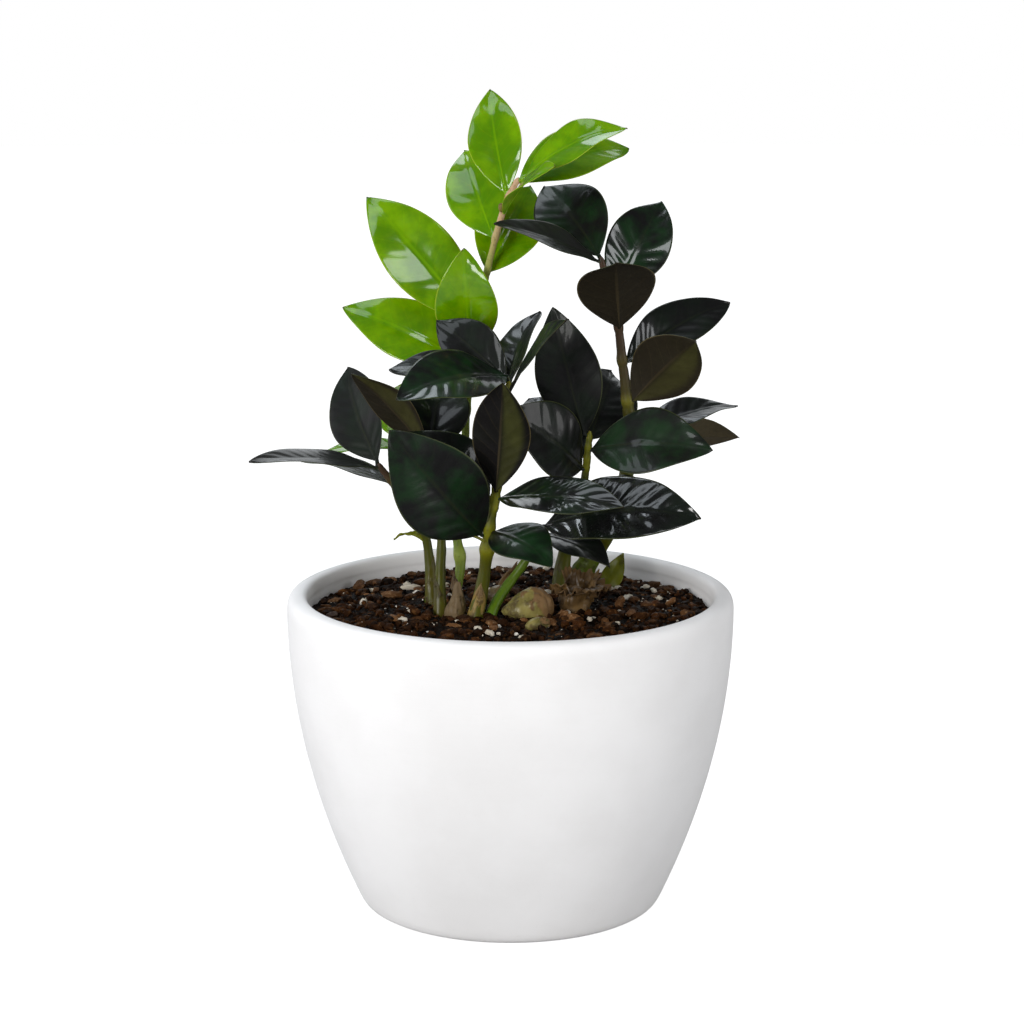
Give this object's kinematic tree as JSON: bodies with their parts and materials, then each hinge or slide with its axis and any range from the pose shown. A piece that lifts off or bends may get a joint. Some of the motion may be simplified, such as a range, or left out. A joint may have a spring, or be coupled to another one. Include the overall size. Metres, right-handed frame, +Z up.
{
  "type": "potted zz plant",
  "caption": "Potted zz plant: near-black fronds with one young lime frond, tubers showing in the soil of a round, tapering matt white pot.",
  "frame": {"origin": "centre of the pot's foot, on the surface that it rests on", "axes": "+Z up; -Y is the side the plant is usually seen from; +X to the right from there"},
  "size_m": [0.2514, 0.23, 0.4176],
  "materials": {
    "pot": "matte",
    "soil": "matte",
    "tuber": "satin",
    "lime_stalk": "satin",
    "olive_stalk": "satin",
    "lime_leaf": "gloss",
    "dark_leaf": "gloss"
  },
  "bodies": {
    "root": {"pot": "pot", "soil": "soil", "stalk_lime": "lime_stalk", "stalk_left": "olive_stalk", "stalk_inner": "olive_stalk", "stalk_front": "olive_stalk", "stalk_shoot": "olive_stalk", "stalk_centre": "olive_stalk", "stalk_right": "olive_stalk", "tuber_large": "tuber", "tuber_tan": "tuber", "tuber_small": "tuber", "tuber_front": "tuber", "tuber_stump": "tuber", "sheath": "lime_stalk", "lime_leaf_01": "lime_leaf", "lime_leaf_02": "lime_leaf", "lime_leaf_03": "lime_leaf", "lime_leaf_04": "lime_leaf", "lime_leaf_05": "lime_leaf", "lime_leaf_06": "lime_leaf", "lime_leaf_07": "lime_leaf", "lime_leaf_08": "lime_leaf", "lime_leaf_09": "lime_leaf", "lime_leaf_10": "lime_leaf", "lime_leaf_11": "lime_leaf", "right_leaf_01": "dark_leaf", "right_leaf_02": "dark_leaf", "right_leaf_03": "dark_leaf", "right_leaf_04": "dark_leaf", "right_leaf_05": "dark_leaf", "right_leaf_06": "dark_leaf", "right_leaf_07": "dark_leaf", "right_leaf_08": "dark_leaf", "centre_leaf_01": "dark_leaf", "centre_leaf_02": "dark_leaf", "centre_leaf_03": "dark_leaf", "centre_leaf_04": "dark_leaf", "centre_leaf_05": "dark_leaf", "centre_leaf_06": "dark_leaf", "front_leaf_01": "dark_leaf", "front_leaf_02": "dark_leaf", "front_leaf_03": "dark_leaf", "front_leaf_04": "dark_leaf", "front_leaf_05": "dark_leaf", "front_leaf_06": "dark_leaf", "front_leaf_07": "dark_leaf", "front_leaf_08": "dark_leaf", "front_leaf_09": "dark_leaf", "front_leaf_10": "dark_leaf", "shoot_leaf_01": "dark_leaf", "shoot_leaf_02": "dark_leaf", "left_leaf_01": "dark_leaf", "left_leaf_02": "dark_leaf", "left_leaf_03": "dark_leaf", "inner_leaf_01": "dark_leaf", "inner_leaf_02": "dark_leaf"}
  },
  "joints": []
}
